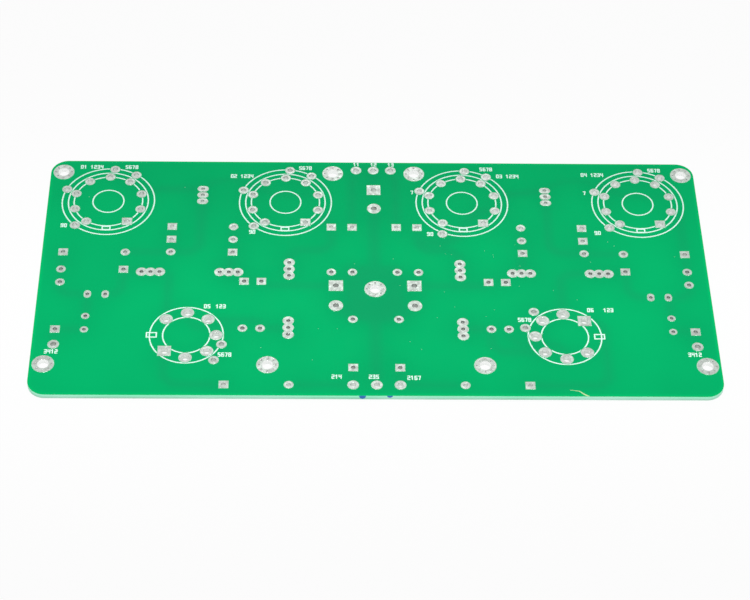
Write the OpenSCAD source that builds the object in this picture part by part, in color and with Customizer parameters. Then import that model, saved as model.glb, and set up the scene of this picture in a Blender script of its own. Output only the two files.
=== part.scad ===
// Bare double-sided circuit board for a stereo valve amplifier.
// X runs along the board, Y from the front edge to the rear edge, Z up through the board.
// The origin is under the middle of the board, at the level the board rests on.

/* [Board] */
// Length of the board along X
board_l = 190; // [176:1:240]
// Width of the board along Y
board_w = 90; // [82:1:130]
// Thickness over both copper foils
board_t = 1.6; // [0.8:0.1:3.2]
// Radius of the rounded corners
corner_r = 5; // [1:0.5:5]

/* [Layers] */
// Thickness of one copper foil
copper_t = 0.07; // [0.035:0.005:0.14]
// Thickness of the tin on the copper pads
tin_t = 0.01; // [0.005:0.005:0.03]
// Thickness of the solder mask
mask_t = 0.03; // [0.02:0.005:0.05]
// Bare ring between a pad and the solder mask
mask_gap = 0.075; // [0.05:0.005:0.1]
// Wall thickness of the plating in a hole
plating_t = 0.05; // [0.03:0.005:0.08]
// Thickness of the printed legend
legend_t = 0.02; // [0.01:0.005:0.04]
// Stroke width of the printed legend
legend_w = 0.38; // [0.2:0.02:0.6]
// Bare gap between the legend and an opening in the mask
legend_gap = 0.1; // [0.05:0.05:0.3]

/* [Screw holes] */
// Diameter of a screw hole
screw_hole_d = 3.2; // [2.4:0.1:3.6]
// Diameter of the land round a screw hole
screw_land_d = 6.05; // [5.6:0.05:7]
// Number of stitching holes round a screw hole
stitch_n = 8; // [4:1:10]
// Diameter of a stitching hole
stitch_d = 0.5; // [0.3:0.05:0.6]
// From the end of the board to a corner screw
corner_screw_end = 3.75; // [3.6:0.05:6]
// From the rear edge to the rear screws
rear_screw_edge = 4.7; // [4.4:0.1:5.5]
// From the front edge to the front screws
front_screw_edge = 10.9; // [8:0.1:11.2]
// Between the two screws at the middle of the rear edge
rear_pair_span = 24; // [21:0.5:26]
// Between the two screws near the middle of the front edge
front_pair_span = 59.8; // [50:0.2:72]
// From the middle of the board forward to the centre screw
centre_screw_fwd = 5.85; // [5:0.05:6.2]

/* [Nine-pin valve sockets] */
// Between the centres of the two inner nine-pin sockets
nine_inner_span = 51.6; // [50:0.1:60]
// Along X from a corner screw to the centre of the nine-pin socket beside it
nine_screw_run = 13.85; // [12.5:0.05:16]
// From the rear edge to the socket centres
nine_edge = 16.7; // [15.5:0.1:19]
// Diameter of the circle through the pins
nine_circle_d = 20; // [18:0.1:21.5]
// Diameter of a pin pad
nine_pad_d = 2.85; // [2.6:0.05:3.2]
// Diameter of a pin hole
nine_hole_d = 1.5; // [1.1:0.05:1.8]

/* [Seven-pin valve sockets] */
// Between the centres of the two seven-pin sockets
seven_span = 105.1; // [103:0.1:120]
// From the front edge to the socket centres
seven_edge = 21.6; // [20:0.1:25]
// Diameter of the circle through the pins
seven_circle_d = 16.5; // [15.5:0.1:18.5]
// Diameter of a pin pad
seven_pad_d = 3.6; // [3:0.05:3.9]
// Diameter of a pin hole
seven_hole_d = 2; // [1.5:0.1:2.4]

/* [Wires and terminals] */
// Diameter of the pad of a wire beside a socket
wire_pad_d = 2.85; // [2.6:0.05:3.2]
// Diameter of a wire hole
wire_hole_d = 1.5; // [1.1:0.05:1.8]
// Diameter of a terminal pad
terminal_pad_d = 3.1; // [2.8:0.1:3.6]
// Diameter of a terminal hole
terminal_hole_d = 1.6; // [1.2:0.1:2]
// Between two terminals at the rear edge
rear_terminal_pitch = 5.08; // [4.4:0.02:6]
// Between two terminals at the front edge
front_terminal_pitch = 6.45; // [5.5:0.05:7.5]
// From the rear edge to the rear terminals
rear_terminal_edge = 3.35; // [3:0.05:3.6]
// From the front edge to the front terminals
front_terminal_edge = 3.8; // [3.6:0.1:4.2]

/* [Resistors] */
// Between the two leads of a resistor
resistor_span = 17.7; // [16:0.1:20]
// Diameter of a resistor pad, and width of its square first pad
resistor_pad_d = 2.6; // [2.2:0.1:3]
// Diameter of a resistor lead hole
resistor_hole_d = 1.2; // [0.9:0.05:1.4]

/* [Capacitors] */
// From the middle rear terminal to the plus lead of the reservoir capacitor
reservoir_run = 8.15; // [7:0.05:10]
// Between the two leads of an electrolytic capacitor
electrolytic_span = 7.6; // [6:0.1:9]
// Diameter of an electrolytic pad, and width of its square plus pad
electrolytic_pad_d = 3.95; // [3.4:0.05:4.2]
// Diameter of an electrolytic lead hole
electrolytic_hole_d = 1.6; // [1.2:0.1:2]
// Between the middles of the two pad rows of a film capacitor
film_span = 22.2; // [20:0.1:25]
// Between the alternative holes in one row
film_pitch = 2.54; // [2:0.02:3]
// Diameter of the pad round one film capacitor hole
film_pad_d = 3.1; // [2.7:0.1:3.2]
// Diameter of a film capacitor hole
film_hole_d = 1.1; // [0.8:0.05:1.4]
// Between the two leads of a disc capacitor
disc_span = 5; // [4:0.1:6]
// Width of the long disc capacitor pads
disc_pad_w = 1.95; // [1.8:0.05:2.4]
// Length of the long disc capacitor pads
disc_pad_l = 2.8; // [2.5:0.1:3.4]
// Diameter of the round disc capacitor pads
disc_pad_d = 2.2; // [1.8:0.05:2.6]
// Diameter of a disc capacitor lead hole
disc_hole_d = 1; // [0.7:0.05:1.2]

/* [Regulators] */
// Between two leads of a three-lead regulator
regulator_pitch = 2.54; // [2.4:0.02:2.6]
// Width of a regulator pad across the row
regulator_pad_w = 3.15; // [2.6:0.05:3.6]
// Length of a regulator pad along the row
regulator_pad_l = 2.25; // [1.8:0.05:2.3]
// Diameter of a regulator lead hole
regulator_hole_d = 1.1; // [0.8:0.05:1.3]

/* [Tracks] */
// Width of an ordinary track
track_w = 2; // [1.2:0.1:2.2]
// Width of a track that passes between two pins
fine_track_w = 1.2; // [0.8:0.1:1.4]
// Width of the ground trunk
trunk_w = 3; // [2:0.1:3.4]
// Width of the ground land round the centre screw
ground_land_w = 16; // [8:0.5:16]
// Cut across the corner of a track
track_chamfer = 2.5; // [1.5:0.5:3]

/* [Hidden] */
$fn = 64;
overcut = 0.5;

// Levels, from the bottom up
laminate_t = board_t - 2 * copper_t;
pad_t = copper_t + tin_t;
laminate_z = copper_t + mask_t;
laminate_top_z = laminate_z + laminate_t;
mask_top_z = laminate_top_z + mask_t;

// Lines that the footprints stand on
rear_y = board_w / 2;
front_y = -board_w / 2;
nine_y = rear_y - nine_edge;
seven_y = front_y + seven_edge;
rear_screw_y = rear_y - rear_screw_edge;
front_screw_y = front_y + front_screw_edge;
rear_terminal_y = rear_y - rear_terminal_edge;
front_terminal_y = front_y + front_terminal_edge;
corner_screw_x = board_l / 2 - corner_screw_end;
stitch_circle_d = (screw_hole_d + screw_land_d) / 2;
function midway(a, b) = (a + b) / 2;
function from_left(d) = d - board_l / 2;
function from_right(d) = board_l / 2 - d;
function from_front(d) = front_y + d;

// A pad is [x, y, type], and a type is [outline, width along X, length along Y, hole diameter]
SCREW = ["round", screw_land_d, screw_land_d, screw_hole_d];
STITCH = ["barrel", 0, 0, stitch_d];
NINE_PIN = ["round", nine_pad_d, nine_pad_d, nine_hole_d];
NINE_FIRST = ["square", nine_pad_d, nine_pad_d, nine_hole_d];
SEVEN_PIN = ["round", seven_pad_d, seven_pad_d, seven_hole_d];
SEVEN_FIRST = ["square", seven_pad_d, seven_pad_d, seven_hole_d];
WIRE = ["round", wire_pad_d, wire_pad_d, wire_hole_d];
TERMINAL = ["round", terminal_pad_d, terminal_pad_d, terminal_hole_d];
RESISTOR = ["round", resistor_pad_d, resistor_pad_d, resistor_hole_d];
RESISTOR_FIRST = ["square", resistor_pad_d, resistor_pad_d, resistor_hole_d];
ELECTROLYTIC = ["round", electrolytic_pad_d, electrolytic_pad_d, electrolytic_hole_d];
ELECTROLYTIC_PLUS = ["square", electrolytic_pad_d, electrolytic_pad_d, electrolytic_hole_d];
FILM = ["round", film_pad_d, film_pad_d, film_hole_d];
DISC_LONG = ["oval", disc_pad_w, disc_pad_l, disc_hole_d];
DISC = ["round", disc_pad_d, disc_pad_d, disc_hole_d];
REGULATOR = ["oval", regulator_pad_w, regulator_pad_l, regulator_hole_d];

function polar(r, a) = [r * cos(a), r * sin(a)];
function pad(at, type) = [at.x, at.y, type];
function spot(p) = [p.x, p.y];

// ---- Screw holes ----
corner_screws = [for (x = [-corner_screw_x, corner_screw_x], y = [front_screw_y, rear_screw_y])
    pad([x, y], SCREW)];
rear_screws = [for (s = [-1, 1]) pad([s * rear_pair_span / 2, rear_screw_y], SCREW)];
front_screws = [for (s = [-1, 1]) pad([s * front_pair_span / 2, front_screw_y], SCREW)];
centre_screw = [pad([0, -centre_screw_fwd], SCREW)];
function stitches(screws) = [for (p = screws, i = [0:stitch_n - 1])
    pad(spot(p) + polar(stitch_circle_d / 2, i * 360 / stitch_n), STITCH)];

// ---- Nine-pin valves: pins every 36 degrees with a gap towards the front ----
nine_gap_angle = -90;
nine_step = 36;
wire_ring_r = nine_circle_d / 2 + 3.25;
heater_angles = [84.8, 55.3];
anode_angle = 158.5;
tap_angle = -133;
far_tap = polar(nine_circle_d / 2 + 3.9, -116);
function nine_x(i) = [nine_screw_run - corner_screw_x, -nine_inner_span / 2,
    nine_inner_span / 2, corner_screw_x - nine_screw_run][i];
function nine_at(i) = [nine_x(i), nine_y];
function nine_pin(i, k) = nine_at(i) + polar(nine_circle_d / 2, nine_gap_angle + nine_step * k);
function nine_wire(i, a) = nine_at(i) + polar(wire_ring_r, a);
function nine_tap(i) = i == 2 ? nine_at(i) + far_tap : nine_wire(i, tap_angle);
function nine_pins(i) = [for (k = [1:9]) pad(nine_pin(i, k), k == 1 ? NINE_FIRST : NINE_PIN)];
function nine_wires(i) = concat([for (a = heater_angles) pad(nine_wire(i, a), WIRE)],
    [pad(nine_wire(i, anode_angle), WIRE), pad(nine_tap(i), WIRE)]);
function nine_pads(i) = concat(nine_pins(i), nine_wires(i));

// ---- Seven-pin valves: pins every 45 degrees with a gap towards the end of the board ----
seven_step = 45;
function beside_seven(d, a) = polar(seven_circle_d / 2 + d, a);
left_seven_wires = [beside_seven(2.14, -18.92), beside_seven(3.75, -49.19)];
right_seven_wires = [beside_seven(4.02, 131.63), beside_seven(3.05, 163.87)];
function seven_side(i) = i == 0 ? -1 : 1;
function seven_gap_angle(i) = i == 0 ? 180 : 0;
function seven_gap_side(i) = cos(seven_gap_angle(i));
function seven_at(i) = [seven_side(i) * seven_span / 2, seven_y];
function seven_pin(i, k) = seven_at(i) + polar(seven_circle_d / 2, seven_gap_angle(i) + seven_step * k);
function seven_wires(i) = i == 0 ? left_seven_wires : right_seven_wires;
function seven_pads(i) = concat(
    [for (k = [1:7]) pad(seven_pin(i, k), k == 1 ? SEVEN_FIRST : SEVEN_PIN)],
    [for (w = seven_wires(i)) pad(seven_at(i) + w, WIRE)]);

// ---- Resistors: [x and y of the square first pad, direction of the second pad] ----
left_bank_y = 8.2;
left_bank_end = nine_x(1) - 14.85;
left_bank_start = left_bank_end - resistor_span;
left_resistors = [
    [from_left(6), midway(left_bank_y, from_front(52.8)), 0],
    [from_left(23.6), from_front(46.3), 180],
    [from_left(6), from_front(23.6), 90],
    [left_bank_start, 18.25, 0], [left_bank_start, 13.2, 0], [left_bank_end, left_bank_y, 180]];
right_bank_y = 8.25;
right_bank_start = midway(nine_x(2), nine_x(3)) - 0.25 + resistor_span / 2;
right_bank_end = right_bank_start - resistor_span;
right_resistors = [
    [from_right(5.8), midway(right_bank_y, from_front(52.95)), 180],
    [from_right(23.5), from_front(46.2), 0],
    [from_right(5.8), from_front(23.5), 90],
    [right_bank_start, 18.3, 180], [right_bank_start, 13.2, 180],
    [right_bank_end, right_bank_y, 0]];
rear_resistors = [for (x = [-12.4, -6.4, 6.4, 12.4]) [x, 18.3, -90]];
anode_resistor_y = from_front(41.9);
anode_resistors = [for (x = [-37.1, -32.2, 32.2, 37.1]) [x, anode_resistor_y, -90]];
input_resistors = [
    [-41.7, front_terminal_y, 0], [-6.4, from_front(10), 90], [6.5, from_front(10), 90],
    [41.9, front_terminal_y, 180]];
function first_lead(r) = [r.x, r.y];
function second_lead(r) = first_lead(r) + polar(resistor_span, r[2]);
function resistor_pads(rs) = [for (r = rs, end = [0, 1])
    end == 0 ? pad(first_lead(r), RESISTOR_FIRST) : pad(second_lead(r), RESISTOR)];

// ---- Electrolytic capacitors: the plus pad is at the rear ----
reservoir_at = [0, rear_terminal_y - reservoir_run];
left_smoothing_at = second_lead(rear_resistors[0]) + [1.3, -5.2];
right_smoothing_at = second_lead(rear_resistors[3]) + [-1.3, -5.2];
function minus_lead(at) = at - [0, electrolytic_span];
function electrolytic_pads(at) = [pad(at, ELECTROLYTIC_PLUS), pad(minus_lead(at), ELECTROLYTIC)];

// ---- Film capacitors: [middle, direction], with a row of three holes at each end ----
// The two that lie across stand clear of the resistor beside them when the board is short
film_across = 0;
film_along = 90;
left_film = [[max(-52.6, left_resistors[1].x + 18.8), left_resistors[1].y - 0.9], film_across];
left_coupling = [[-24.4, -9.4], film_along];
right_film = [[min(52.85, right_resistors[1].x - 18.65), right_resistors[1].y - 0.8], film_across];
right_coupling = [[24.3, -9.7], film_along];
// One hole: end is -1 or 1, and hole is -1, 0 or 1 along the row
function film_lead(f, end, hole) = f[0] + polar(end * film_span / 2 + hole * film_pitch, f[1]);
function film_pads(f) = [for (end = [-1, 1], hole = [-1, 0, 1]) pad(film_lead(f, end, hole), FILM)];

// ---- Disc capacitors, two on each side ----
left_disc_rear = [from_left(14.05), from_front(36.75)];
left_disc_front = [from_left(14.05), from_front(28.5)];
right_disc_rear = [from_right(12.15), from_front(36.4)];
right_disc_front = [from_right(12.05), from_front(28.5)];
function disc_rear_other(side) = side < 0
    ? left_disc_rear + [disc_span, 0]
    : right_disc_rear - [disc_span, 0];
function disc_front_other(side) = (side < 0 ? left_disc_front : right_disc_front) - [0, disc_span];
left_disc_pads = [
    pad(left_disc_rear, DISC_LONG), pad(disc_rear_other(-1), DISC_LONG),
    pad(left_disc_front, DISC), pad(disc_front_other(-1), DISC)];
right_disc_pads = [
    pad(right_disc_rear, DISC_LONG), pad(disc_rear_other(1), DISC_LONG),
    pad(right_disc_front, DISC), pad(disc_front_other(1), DISC)];

// ---- Three-lead regulators: lead 1 is at the rear ----
regulator_y = nine_y + 2.8;
left_regulator_at = [midway(nine_x(0), nine_x(1)) + 1.6, regulator_y];
right_regulator_at = [midway(nine_x(2), nine_x(3)) - 1.2, regulator_y];
function regulator_lead(at, k) = at + [0, (2 - k) * regulator_pitch];
function regulator_pads(at) = [for (k = [1:3]) pad(regulator_lead(at, k), REGULATOR)];

// ---- Terminals ----
rear_terminals = [for (i = [-1:1]) pad([i * rear_terminal_pitch, rear_terminal_y], TERMINAL)];
front_terminals = [for (i = [-1:1]) pad([i * front_terminal_pitch, front_terminal_y], TERMINAL)];
left_feedback_at = [from_left(6), from_front(18)];
right_feedback_at = [from_right(5.8), from_front(18)];
feedback_terminals = [pad(left_feedback_at, TERMINAL), pad(right_feedback_at, TERMINAL)];

all_screws = concat(corner_screws, rear_screws, front_screws, centre_screw);
all_resistors = concat(left_resistors, right_resistors, rear_resistors, anode_resistors,
    input_resistors);
all_pads = concat(
    all_screws,
    [for (i = [0:3], p = nine_pads(i)) p],
    [for (i = [0:1], p = seven_pads(i)) p],
    resistor_pads(all_resistors),
    electrolytic_pads(reservoir_at),
    electrolytic_pads(left_smoothing_at),
    electrolytic_pads(right_smoothing_at),
    film_pads(left_film), film_pads(left_coupling),
    film_pads(right_film), film_pads(right_coupling),
    left_disc_pads, right_disc_pads,
    regulator_pads(left_regulator_at), regulator_pads(right_regulator_at),
    rear_terminals, front_terminals, feedback_terminals);

// ---- Track geometry: a route is [list of corners, width] ----
function unit(v) = v / norm(v);
function side_of(a, b) = let (d = unit(b - a)) [-d.y, d.x];
corner_share = 0.45;
function corner_cut(path, i) = min(track_chamfer,
    corner_share * norm(path[i] - path[i - 1]), corner_share * norm(path[i + 1] - path[i]));
function corner_points(path, i) = i == 0 || i == len(path) - 1
    ? [path[i]]
    : [path[i] + corner_cut(path, i) * unit(path[i - 1] - path[i]),
        path[i] + corner_cut(path, i) * unit(path[i + 1] - path[i])];
function chamfered(path) = [for (i = [0:len(path) - 1], p = corner_points(path, i)) p];
function mitre(path, i) =
    let (next = min(i, len(path) - 2),
        last = max(i, 1),
        before = side_of(path[last - 1], path[last]),
        after = side_of(path[next], path[next + 1]))
    (before + after) / (1 + before * after);
function track_outline(path, w) = concat(
    [for (i = [0:len(path) - 1]) path[i] + mitre(path, i) * w / 2],
    [for (i = [len(path) - 1:-1:0]) path[i] - mitre(path, i) * w / 2]);

// A stub runs straight from a to b. An elbow leaves a along X, and a knee leaves a along Y.
function stub(a, b) = [[a, b], track_w];
function elbow(a, b) = [[a, [b.x, a.y], b], track_w];
function knee(a, b) = [[a, [a.x, b.y], b], track_w];
function through(path) = [path, track_w];
function fine(path) = [path, fine_track_w];

// ---- Ground: a trunk along the middle, with a land round the centre screw ----
land_rear_y = 3;
land_front_y = second_lead(input_resistors[1]).y;
ground_routes = [
    [[[0, front_terminal_y], minus_lead(reservoir_at)], trunk_w],
    [[[0, land_front_y], [0, land_rear_y]], ground_land_w],
    stub(minus_lead(left_smoothing_at), minus_lead(right_smoothing_at)),
    stub(minus_lead(left_smoothing_at), second_lead(input_resistors[1])),
    stub(minus_lead(right_smoothing_at), second_lead(input_resistors[2])),
    stub(second_lead(input_resistors[1]), second_lead(input_resistors[2])),
    stub(second_lead(rear_resistors[1]), second_lead(rear_resistors[2]))];

// ---- Supply: rear terminals, reservoir and smoothing capacitors ----
output_bend_y = rear_terminal_y - 4.15;
reservoir_routes = [stub(spot(rear_terminals[1]), reservoir_at)];
function output_route(terminal, lead) = through([terminal, [lead.x, output_bend_y], lead]);
output_routes = [
    output_route(spot(rear_terminals[0]), first_lead(rear_resistors[1])),
    output_route(spot(rear_terminals[2]), first_lead(rear_resistors[2]))];
function supply_net(at, rear, near, far) = [
    stub(second_lead(rear), at),
    elbow(at, first_lead(near)),
    stub(first_lead(near), first_lead(far))];
supply_routes = concat(
    supply_net(left_smoothing_at, rear_resistors[0], anode_resistors[1], anode_resistors[0]),
    supply_net(right_smoothing_at, rear_resistors[3], anode_resistors[2], anode_resistors[3]));

// ---- Small valves: input, grid, anode, screen and cathode ----
right_grid_x = seven_span / 2 + 11.15;
screen_run = 5;
left_tie = film_lead(left_film, -1, 1);
right_tie = film_lead(right_film, 1, -1);
function between(i, a, b) = (seven_pin(i, a) + seven_pin(i, b)) / 2;
input_routes = [
    stub(spot(front_terminals[0]), second_lead(input_resistors[0])),
    stub(spot(front_terminals[0]), first_lead(input_resistors[1])),
    stub(spot(front_terminals[2]), second_lead(input_resistors[3])),
    stub(spot(front_terminals[2]), first_lead(input_resistors[2]))];
grid_routes = [
    knee(seven_pin(0, 1), first_lead(input_resistors[0])),
    through([first_lead(input_resistors[3]), [right_grid_x, front_terminal_y],
        [right_grid_x, seven_pin(1, 1).y], seven_pin(1, 1)])];
anode_routes = [
    stub(film_lead(left_coupling, -1, 0), second_lead(anode_resistors[1])),
    knee(second_lead(anode_resistors[1]), seven_pin(0, 5)),
    stub(film_lead(right_coupling, -1, 0), second_lead(anode_resistors[2])),
    knee(second_lead(anode_resistors[2]), seven_pin(1, 5))];
screen_routes = [
    fine([second_lead(anode_resistors[0]), between(0, 4, 5) + [screen_run, 0],
        [seven_pin(0, 6).x, between(0, 4, 5).y], seven_pin(0, 6)]),
    fine([second_lead(anode_resistors[3]), [second_lead(anode_resistors[3]).x, between(1, 4, 5).y],
        [seven_pin(1, 6).x, between(1, 4, 5).y], seven_pin(1, 6)])];
cathode_routes = [
    elbow(left_tie, seven_pin(0, 7)),
    stub(first_lead(left_resistors[1]), film_lead(left_film, -1, -1)),
    knee(first_lead(left_resistors[1]), disc_rear_other(-1)),
    elbow(right_tie, seven_pin(1, 2)),
    stub(first_lead(right_resistors[1]), film_lead(right_film, 1, 1)),
    knee(first_lead(right_resistors[1]), disc_rear_other(1))];
seven_heater_routes = [for (i = [0:1], k = [0:1])
    stub(seven_pin(i, i == 0 ? 4 - k : 3 + k), seven_at(i) + seven_wires(i)[k])];

// ---- Large valves: grids, cathodes, regulators, heaters, anodes and taps ----
coupling_y = nine_y - 19.3;
far_grid_y = nine_y - 15.9;
socket_pass = [[-12.8, 9.3], [-4.2, 3.09]];
regulator_run = 4;
far_cathode_run = 14;
function coupling_net(hole, resistor) = [through([hole, [hole.x, coupling_y],
    [first_lead(resistor).x, coupling_y], first_lead(resistor)])];
far_grid_route = through([[first_lead(rear_resistors[3]).x, far_grid_y],
    [nine_x(2) - track_chamfer, far_grid_y], [nine_x(2), far_grid_y + 2 * track_chamfer],
    [nine_x(2), nine_pin(2, 2).y - 2 * track_chamfer],
    [nine_x(2) + 2 * track_chamfer, nine_pin(2, 2).y], nine_pin(2, 2)]);
coupling_routes = concat(
    coupling_net(film_lead(left_coupling, 1, 1), rear_resistors[0]),
    [stub(first_lead(rear_resistors[0]), nine_pin(1, 2))],
    coupling_net(film_lead(right_coupling, 1, 1), rear_resistors[3]),
    [far_grid_route]);
function pass_route(lead, i) = fine([lead, [lead.x + regulator_run, nine_y + socket_pass[0].y],
    nine_at(i) + socket_pass[0], nine_at(i) + socket_pass[1], nine_pin(i, 3)]);
output_cathode_routes = [
    through([regulator_lead(left_regulator_at, 1),
        regulator_lead(left_regulator_at, 1) - [far_cathode_run, 0], nine_pin(0, 3)]),
    pass_route(regulator_lead(left_regulator_at, 1), 1),
    stub(regulator_lead(right_regulator_at, 1), nine_pin(2, 3)),
    pass_route(regulator_lead(right_regulator_at, 1), 3)];
function regulator_net(at, rs) = [
    knee(regulator_lead(at, 3), second_lead(rs[5])),
    stub(second_lead(rs[5]), second_lead(rs[0])),
    stub(first_lead(rs[3]), second_lead(rs[5]))];
regulator_routes = concat(
    regulator_net(left_regulator_at, left_resistors),
    regulator_net(right_regulator_at, right_resistors));
function bank_net(rs, hole) = [
    stub(second_lead(rs[3]), first_lead(rs[5])),
    stub(first_lead(rs[5]), hole)];
bank_routes = concat(
    bank_net(left_resistors, film_lead(left_film, 1, 0)),
    bank_net(right_resistors, film_lead(right_film, -1, 0)));
nine_wire_routes = [for (i = [0:3], k = [4, 5, 7, 9]) stub(nine_pin(i, k),
    k == 4 ? nine_wire(i, heater_angles[1]) :
    k == 5 ? nine_wire(i, heater_angles[0]) :
    k == 7 ? nine_wire(i, anode_angle) : nine_tap(i))];

// ---- Ends of the board: feedback resistors and disc capacitors ----
function end_net(rs, rear_disc, front_disc) = [
    stub(first_lead(rs[0]), second_lead(rs[2])),
    knee(second_lead(rs[2]), rear_disc),
    stub(rear_disc, front_disc)];
end_routes = concat(
    end_net(left_resistors, left_disc_rear, left_disc_front),
    end_net(right_resistors, right_disc_rear, right_disc_front),
    [knee(first_lead(right_resistors[0]), nine_pin(3, 2))]);
feedback_routes = [
    stub(disc_front_other(-1), first_lead(left_resistors[2])),
    stub(first_lead(left_resistors[2]), left_feedback_at),
    stub(disc_front_other(1), first_lead(right_resistors[2])),
    stub(first_lead(right_resistors[2]), right_feedback_at)];

all_routes = concat(ground_routes, reservoir_routes, output_routes, supply_routes, input_routes,
    grid_routes, anode_routes, screen_routes, cathode_routes, seven_heater_routes,
    coupling_routes, output_cathode_routes, regulator_routes, bank_routes, nine_wire_routes,
    end_routes, feedback_routes);

// ---- Pads that lie near a route or near a socket's legend ----
function pad_reach(p) = max(p[2][1], p[2][2]);
function gap_to(a, b, q) =
    let (t = max(0, min(1, ((q - a) * (b - a)) / ((b - a) * (b - a)))))
    norm(a + t * (b - a) - q);
function gap_to_route(route, q) =
    min([for (i = [0:len(route[0]) - 2]) gap_to(route[0][i], route[0][i + 1], q)]) - route[1] / 2;
function pads_along(routes) = [for (p = all_pads)
    if (min([for (route = routes) gap_to_route(route, spot(p))]) < pad_reach(p)) p];
function pads_round(at, r) = [for (p = all_pads) if (norm(spot(p) - at) < r + pad_reach(p)) p];

// ---- Shapes shared by several parts ----
module board_outline() {
    square([board_l - 2 * corner_r, board_w], center = true);
    square([board_l, board_w - 2 * corner_r], center = true);
    for (sx = [-1, 1], sy = [-1, 1])
        translate([sx * (board_l / 2 - corner_r), sy * (board_w / 2 - corner_r)]) circle(corner_r);
}

module pad_outline(type, grow) {
    w = type[1] + 2 * grow;
    l = type[2] + 2 * grow;
    r = min(w, l) / 2;
    ends = w > l ? [w / 2 - r, 0] : [0, l / 2 - r];
    if (type[0] == "round") circle(d = w);
    if (type[0] == "square") square([w, l], center = true);
    if (type[0] == "oval") {
        for (s = [-1, 1]) translate(s * ends) circle(r);
        square(w > l ? [w - 2 * r, l] : [w, l - 2 * r], center = true);
    }
}

module slab(z, t) {
    translate([0, 0, z]) linear_extrude(t) children();
}

module routes_at(routes, z, t, grow) {
    slab(z, t) for (route = routes)
        polygon(track_outline(chamfered(route[0]), route[1] + 2 * grow));
}

module openings(pads, z, t, grow) {
    for (p = pads) translate(spot(p)) slab(z - overcut, t + 2 * overcut) pad_outline(p[2], grow);
}

module drilled(pads, grow) {
    for (p = pads)
        translate([p.x, p.y, -overcut]) cylinder(h = board_t + 2 * overcut, d = p[2][3] + 2 * grow);
}

// One plated eyelet: a pad on each face of the laminate and a barrel between them
module eyelet(p) {
    translate(spot(p)) {
        if (p[2][0] != "barrel") {
            slab(laminate_z - pad_t, pad_t) pad_outline(p[2], 0);
            slab(laminate_top_z, pad_t) pad_outline(p[2], 0);
        }
        translate([0, 0, laminate_z]) cylinder(h = laminate_t, d = p[2][3] + 2 * plating_t);
    }
}

module eyelets(pads) {
    color("Silver") difference() {
        for (p = pads) eyelet(p);
        drilled(pads, 0);
    }
}

module screw_lands(screws) eyelets(concat(screws, stitches(screws)));

module tracks(routes) {
    color("Peru") difference() {
        routes_at(routes, laminate_z - copper_t, copper_t, 0);
        openings(pads_along(routes), laminate_z - copper_t, copper_t, 0);
    }
}

// ---- Laminate and solder mask ----
module laminate() {
    color("PaleGreen") difference() {
        slab(laminate_z, laminate_t) board_outline();
        drilled(concat(all_pads, stitches(all_screws)), plating_t);
    }
}

module top_solder_mask() {
    color("SeaGreen") difference() {
        slab(laminate_top_z, mask_t) board_outline();
        openings(all_pads, laminate_top_z, mask_t, mask_gap);
    }
}

module bottom_solder_mask() {
    color("SeaGreen") difference() {
        union() {
            slab(laminate_z - mask_t, mask_t) board_outline();
            routes_at(all_routes, 0, laminate_z, mask_t);
        }
        routes_at(all_routes, laminate_z - copper_t, copper_t + overcut, 0);
        openings(all_pads, 0, laminate_z, mask_gap);
    }
}

// ---- Printed legend round the valve sockets ----
nine_pin_r = nine_circle_d / 2;
nine_rings = [nine_pin_r + 3.4, nine_pin_r + 1.6, nine_pin_r - 0.05, 4.5];
nine_key = [2.6, 1.6];
nine_key_r = nine_pin_r + 0.8;
seven_pin_r = seven_circle_d / 2;
seven_rings = [seven_pin_r + 1.95, seven_pin_r - 1.7];
seven_key = [3.1, 2];
seven_key_r = seven_pin_r + 1.4;

module legend_ring(r) {
    difference() {
        circle(r + legend_w / 2, $fn = 128);
        circle(r - legend_w / 2, $fn = 128);
    }
}

module legend_box(size) {
    difference() {
        square(size, center = true);
        square(size - 2 * [legend_w, legend_w], center = true);
    }
}

module legend(at, reach) {
    color("White") difference() {
        translate(at) slab(mask_top_z, legend_t) children();
        openings(pads_round(at, reach), mask_top_z, legend_t, mask_gap + legend_gap);
    }
}

module nine_legend(i) {
    legend(nine_at(i), nine_rings[0]) {
        difference() {
            for (r = nine_rings) legend_ring(r);
            translate([0, -nine_key_r]) square(nine_key, center = true);
        }
        translate([0, -nine_key_r]) legend_box(nine_key);
    }
}

module seven_legend(i) {
    legend(seven_at(i), seven_rings[0] + seven_key.x) {
        for (r = seven_rings) legend_ring(r);
        translate([seven_gap_side(i) * seven_key_r, 0]) legend_box(seven_key);
    }
}

// ---- One module for each sub-part ----
module first_nine_pin_pads() eyelets(nine_pads(0));
module second_nine_pin_pads() eyelets(nine_pads(1));
module third_nine_pin_pads() eyelets(nine_pads(2));
module fourth_nine_pin_pads() eyelets(nine_pads(3));
module left_seven_pin_pads() eyelets(seven_pads(0));
module right_seven_pin_pads() eyelets(seven_pads(1));
module left_end_screw_lands() screw_lands([corner_screws[0], corner_screws[1]]);
module right_end_screw_lands() screw_lands([corner_screws[2], corner_screws[3]]);
module rear_screw_lands() screw_lands(rear_screws);
module front_screw_lands() screw_lands(front_screws);
module centre_screw_land() screw_lands(centre_screw);
module left_resistor_pads() eyelets(resistor_pads(left_resistors));
module right_resistor_pads() eyelets(resistor_pads(right_resistors));
module rear_resistor_pads() eyelets(resistor_pads(rear_resistors));
module anode_resistor_pads() eyelets(resistor_pads(anode_resistors));
module input_resistor_pads() eyelets(resistor_pads(input_resistors));
module reservoir_pads() eyelets(electrolytic_pads(reservoir_at));
module left_smoothing_pads() eyelets(electrolytic_pads(left_smoothing_at));
module right_smoothing_pads() eyelets(electrolytic_pads(right_smoothing_at));
module left_film_pads() eyelets(film_pads(left_film));
module right_film_pads() eyelets(film_pads(right_film));
module left_coupling_pads() eyelets(film_pads(left_coupling));
module right_coupling_pads() eyelets(film_pads(right_coupling));
module left_disc_pads() eyelets(left_disc_pads);
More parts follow.
